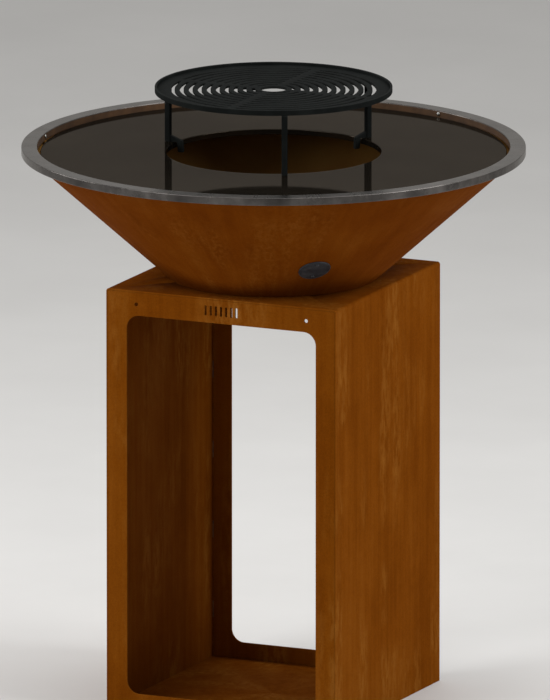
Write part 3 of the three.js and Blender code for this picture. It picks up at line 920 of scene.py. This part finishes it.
def make_screws():
    """Button-head screws through the collar's lip, pointing outwards, each with a six-sided socket."""
    steps = 48
    dome = [(SCREW_HEAD * math.cos(a), (0.6 + 1.9 * math.sin(a)) * MM)
            for a in np.linspace(0, math.radians(56), 6)]
    profile = [
        (1.2 * MM, -14 * MM), (1.9 * MM, -13.4 * MM), (2 * MM, 0), (3.4 * MM, 0), (SCREW_HEAD, 0.2 * MM),
        *dome, (hexagon(SOCKET + 0.1 * MM, steps), 2.2 * MM), (hexagon(SOCKET, steps), 2.05 * MM),
        (hexagon(SOCKET, steps), 0.9 * MM),
    ]
    drawn, faces = turned(profile, steps, closed=False)
    seat = COLLAR_INNER - GAP
    points = np.column_stack([seat - drawn[:, 2], -drawn[:, 0], RIM_TOP - SCREW_DROP + drawn[:, 1]])
    for i, angle in enumerate(LUG_TURNS):
        make_piece(f"rim_screw_{i + 1}", spin(points, angle), faces, BRIGHT_FIXING,
                   [f"collar_screw_{i + 1}"])


make_lugs()
make_screws()


# ---------- Badge ----------

BADGE_TURN = math.radians(-49)
BADGE_HEIGHT = 833 * MM
BADGE_RADIUS = 29 * MM
BADGE_THICKNESS = 2 * MM
RIVET_OFFSET = 20 * MM
RIVET_HEAD = 3.6 * MM


def on_cone(drawn, up_slope=0.0, bend=True):
    """Points drawn as (round the cone, up its slope, out from its skin), moved to the badge's place.
    Bent points keep their distance from the curved skin."""
    lean = math.hypot(1, SLOPE)
    along = np.array([SLOPE, 0, 1]) / lean
    out = np.array([1, 0, -SLOPE]) / lean
    up = drawn[:, 1] + up_slope
    radius = cone_radius(BADGE_HEIGHT) + up * along[0]
    sag = (np.hypot(radius, drawn[:, 0]) - radius) / lean if bend else 0
    points = np.array([cone_radius(BADGE_HEIGHT), 0, BADGE_HEIGHT]) + np.outer(up, along)
    points += np.outer(drawn[:, 2] - sag, out)
    points[:, 1] += drawn[:, 0]
    return spin(points, BADGE_TURN)


def make_badge():
    """A blank round plate bent to the cone, with a line turned in near its edge."""
    top = BADGE_THICKNESS
    profile = [(share * BADGE_RADIUS, 0) for share in (0.15, 0.35, 0.55, 0.75, 0.9)]
    edge = [(0.4, 0), (0, 0.4 * MM), (0, top - 0.6 * MM), (0.2, top - 0.2 * MM), (0.6, top)]
    groove = [(2.4, top), (2.7, top - 0.4 * MM), (3.6, top - 0.4 * MM), (3.9, top)]
    profile += [(BADGE_RADIUS - inwards * MM, height) for inwards, height in edge + groove]
    profile += [(share * BADGE_RADIUS, top) for share in (0.75, 0.55, 0.35, 0.15)]
    drawn, faces = turned([(r, h + GAP) for r, h in profile], 128, closed=False)
    make_piece("round_badge", on_cone(drawn), faces, BLUED_STEEL, ["badge"])


def make_rivets():
    """Two round-head rivets through the badge, with plain tails inside the bowl."""
    dome = [(RIVET_HEAD * math.cos(a), (3.1 + 1.6 * math.sin(a)) * MM)
            for a in np.linspace(0, math.radians(84), 9)]
    profile = [(0.9 * MM, -5 * MM), (1.7 * MM, -4.7 * MM), (2 * MM, -4.2 * MM), (2 * MM, 2.2 * MM),
               (3.3 * MM, 2.25 * MM), (RIVET_HEAD, 2.6 * MM), *dome]
    drawn, faces = turned(profile, 48, closed=False)
    for i, place in enumerate((-RIVET_OFFSET, RIVET_OFFSET)):
        make_piece(f"round_rivet_{i + 1}", on_cone(drawn, place, False), faces, BLUED_STEEL,
                   [f"badge_rivet_{i + 1}"])


make_badge()
make_rivets()


# ---------- Bolts between the bowl and the base ----------

BOLT_FLAT = 6.5 * MM  # half the width across the flats
BOLT_RADIUS = 4 * MM
THREAD_PITCH = 1.25 * MM
THREAD_DEPTH = 0.55 * MM
BOLT_STEPS = 48
CHAMFER_DEPTHS = [d * MM for d in (0, 0.2, 0.4, 0.6, 0.8)]


def chamfered(depth):
    """A hexagon whose corners are cut by a cone, at a depth below the cone's top."""
    return np.minimum(hexagon(BOLT_FLAT, BOLT_STEPS), 6.25 * MM + 1.7 * depth)


def thread(height):
    """The radius of a screw thread at each step round, at a height: a triangle wave that climbs one
    pitch in a turn."""
    phase = (height / THREAD_PITCH - np.arange(BOLT_STEPS) / BOLT_STEPS) % 1
    return BOLT_RADIUS - THREAD_DEPTH * np.abs(2 * phase - 1)


def make_bolts():
    """Hexagon bolts through the bowl's floor and the base's top, each with a washer under the head
    and a nut under the top sheet."""
    for i, (x, y) in enumerate(BOLT_PLACES):
        bolt_low, bolt_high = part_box(f"bowl_bolt_{i + 1}")
        washer_low, washer_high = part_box(f"bowl_washer_{i + 1}")
        nut_low, nut_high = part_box(f"bowl_nut_{i + 1}")
        centre = [x, y, 0]
        head_low = washer_high.z + GAP
        threaded = np.arange(bolt_low.z + 0.8 * MM, nut_high.z + 1 * MM, THREAD_PITCH / 8)
        profile = [(2.9 * MM, bolt_low.z)] + [(thread(z), z) for z in threaded]
        profile += [(BOLT_RADIUS, nut_high.z + 2 * MM), (BOLT_RADIUS, head_low),
                    (hexagon(BOLT_FLAT, BOLT_STEPS), head_low)]
        profile += [(chamfered(d), bolt_high.z - d) for d in CHAMFER_DEPTHS[::-1]]
        profile += [(4 * MM, bolt_high.z), (3.7 * MM, bolt_high.z - 0.25 * MM)]
        points, faces = turned(profile, BOLT_STEPS, closed=False)
        make_piece(f"hex_bolt_{i + 1}", points + centre, faces, BRIGHT_FIXING, [f"bowl_bolt_{i + 1}"])
        section = rounded([(4.3 * MM, washer_low.z, 0.3 * MM), (8 * MM, washer_low.z, 0.3 * MM),
                           (8 * MM, washer_high.z, 0.4 * MM), (4.3 * MM, washer_high.z, 0.3 * MM)], steps=3)
        points, faces = turned(section, BOLT_STEPS)
        make_piece(f"flat_washer_{i + 1}", points + centre, faces, BRIGHT_FIXING,
                   [f"bowl_washer_{i + 1}"])
        inner = BOLT_RADIUS + GAP
        profile = [(inner, nut_low.z + 0.5 * MM), (inner + 0.5 * MM, nut_low.z)]
        profile += [(chamfered(d), nut_low.z + d) for d in CHAMFER_DEPTHS]
        profile += [(chamfered(d), nut_high.z - d) for d in CHAMFER_DEPTHS[::-1]]
        profile += [(inner + 0.5 * MM, nut_high.z), (inner, nut_high.z - 0.5 * MM)]
        points, faces = turned(profile, BOLT_STEPS)
        make_piece(f"hex_nut_{i + 1}", points + centre, faces, BRIGHT_FIXING, [f"bowl_nut_{i + 1}"])


make_bolts()


# ---------- Welds ----------

RIPPLE = 2.4 * MM  # from one wave of a bead to the next
BEAD_SIDES = 10


def bead_surface(path, radius, closed=False):
    """A weld bead along a path: a round section whose radius swells and shrinks by a tenth as a cosine
    of the length run, and on an open path ends in two half rounds that close at a point."""
    following = np.roll(path, -1, axis=0) if closed else path[1:]
    stretches = np.linalg.norm(following - path[:len(following)], axis=1)
    run = np.concatenate([[0], np.cumsum(stretches)])
    knots = np.concatenate([path, path[:1]]) if closed else path
    count = max(int(run[-1] / RIPPLE * 4), 8)
    at = np.linspace(0, run[-1], count + 1)
    if closed:
        at = at[:-1]
    spine = np.column_stack([np.interp(at, run, knots[:, i]) for i in range(3)])
    if closed:
        ahead = np.roll(spine, -1, axis=0) - np.roll(spine, 1, axis=0)
    else:
        ahead = np.gradient(spine, axis=0)
    ahead /= np.linalg.norm(ahead, axis=1)[:, None]
    # A direction that the path never follows keeps the section from twisting.
    steady = np.array([0.35, 0.2, 0.91]) if abs(ahead[0, 2]) < 0.8 else np.array([0.9, 0.4, 0.1])
    side = np.cross(steady, ahead)
    side /= np.linalg.norm(side, axis=1)[:, None]
    over = np.cross(ahead, side)
    swell = radius * (1 + 0.1 * np.cos(TURN * at / RIPPLE))
    if not closed:
        to_end = np.minimum(np.minimum(at, run[-1] - at) / radius, 1)
        swell *= np.sqrt(np.maximum(1 - (1 - to_end) ** 2, 1e-4))
    angles = np.arange(BEAD_SIDES) * TURN / BEAD_SIDES
    across, along = np.cos(angles)[None, :, None], np.sin(angles)[None, :, None]
    section = side[:, None] * across + over[:, None] * along
    points = (spine[:, None] + swell[:, None, None] * section).reshape(-1, 3)
    rows = len(spine)
    faces = grid_faces(rows, BEAD_SIDES, close_rows=closed).tolist()
    if closed:
        return points, faces
    return np.concatenate([points, spine[:1], spine[-1:]]), faces + end_fans(rows, BEAD_SIDES)


def make_beads(name, paths, radius, material, body="stand", closed=False):
    """Several beads as one piece."""
    points, faces, first = [], [], 0
    for path in paths:
        bead_points, bead_faces = bead_surface(np.array(path, float), radius, closed)
        points.append(bead_points)
        faces += [[corner + first for corner in face] for face in bead_faces]
        first += len(bead_points)
    make_piece(name, np.concatenate(points), faces, material, body=body, sharp=60)


def weld_bowl():
    """The bead all round the bowl's floor, and two beads under each lug."""
    radius = cone_radius(pan_high.z) - LEVEL_WALL
    ring = circle((0, 0), radius - 0.8 * MM, 360)
    path = np.column_stack([ring, np.full(len(ring), pan_high.z + 0.5 * MM)])
    make_beads("floor_weld", [path], 2.2 * MM, WELD_STEEL, closed=True)
    low, high = plate_low.z - LUG_DEPTH, plate_low.z - 2 * MM
    paths = []
    for angle in LUG_TURNS:
        for side in (-1, 1):
            heights = np.array([low, high])
            reach = cone_radius(heights) - LEVEL_WALL - 0.6 * MM
            across = np.full(2, side * LUG_THICKNESS / 2)
            paths.append(spin(np.column_stack([reach, across, heights]), angle))
    make_beads("lug_weld", paths, 1.6 * MM, WELD_STEEL)


def weld_bay():
    """Short beads in the corners behind the front sheet and before the rear one."""
    wall = HALF_BASE - SHEET - 0.2 * MM
    half = 16 * MM
    paths = []
    for x in (-wall, wall):
        for y in (frame_high.y + 0.2 * MM, rear_low.y - 0.2 * MM):
            for middle in np.linspace(90 * MM, BASE_TOP - 90 * MM, 5):
                paths.append([(x, y, middle - half), (x, y, middle + half)])
    make_beads("bay_weld", paths, 1.8 * MM, WELD_STEEL)


def weld_grate():
    """Beads under the disc on both sides of each leg, and where each foot meets its leg."""
    paths = []
    outer = band_high.x
    for angle in LEG_ANGLES:
        for side in (-1, 1):
            across = side * LEG_SIZE / 2
            top = disc_low.z - 0.2 * MM
            under = [(outer - LEG_SIZE + 1.5 * MM, across, top), (outer - 5.5 * MM, across, top)]
            paths.append(spin(np.array(under), angle))
            joint = side * FOOT_THICKNESS / 2
            back = outer - LEG_SIZE - 0.2 * MM
            upright = [(back, joint, LEG_LOW + 1.5 * MM), (back, joint, LEG_LOW + 10.5 * MM)]
            paths.append(spin(np.array(upright), angle))
    make_beads("grate_weld", paths, 1.1 * MM, GRATE_STEEL, "grate")


weld_bowl()
weld_bay()
weld_grate()


# ---------- Stage ----------


FLOOR_REACH = 60.0
LAMPS = [  # name, place, width of its square panel, power in watts
    ("key", (-1.8, -3.7, 2.8), 2.6, 80),
    ("fill", (3.7, 0.2, 2.8), 2.2, 93),
    ("top", (0.2, 1.4, 4.2), 3.0, 56),
    ("low", (-4.2, -0.7, 2.4), 2.0, 72),
]
LAMP_AIM = Vector((0, 0, 0.6))


def make_floor():
    """A level square of pale paint."""
    reach = FLOOR_REACH
    mesh = bpy.data.meshes.new("floor")
    mesh.from_pydata([(-reach, -reach, 0), (reach, -reach, 0), (reach, reach, 0), (-reach, reach, 0)],
                     [], [(0, 1, 2, 3)])
    pale = Finish("floor_paint")
    tone = pale.noise(pale.place, 2, 4)
    pale.set("Base Color", pale.ramp(tone, [(0.3, (0.66, 0.655, 0.645)), (0.7, (0.7, 0.695, 0.685))]))
    pale.set("Roughness", 0.8)
    mesh.materials.append(pale.material)
    placed("floor", mesh)


def make_lights():
    """Soft light from all round, and four large panels of light aimed at the brazier."""
    world = bpy.data.worlds.new("studio")
    bpy.context.scene.world = world
    world.use_nodes = True
    sky = world.node_tree.nodes["Background"]
    sky.inputs["Color"].default_value = (1, 0.985, 0.96, 1)
    sky.inputs["Strength"].default_value = 0.45
    for name, place, size, power in LAMPS:
        lamp = bpy.data.lights.new(name, "AREA")
        lamp.size = size
        lamp.energy = power
        light = placed(name, lamp)
        light.location = place
        light.rotation_euler = (LAMP_AIM - Vector(place)).to_track_quat("-Z", "Y").to_euler()


make_floor()
make_lights()
bpy.context.scene.view_settings.view_transform = "Standard"
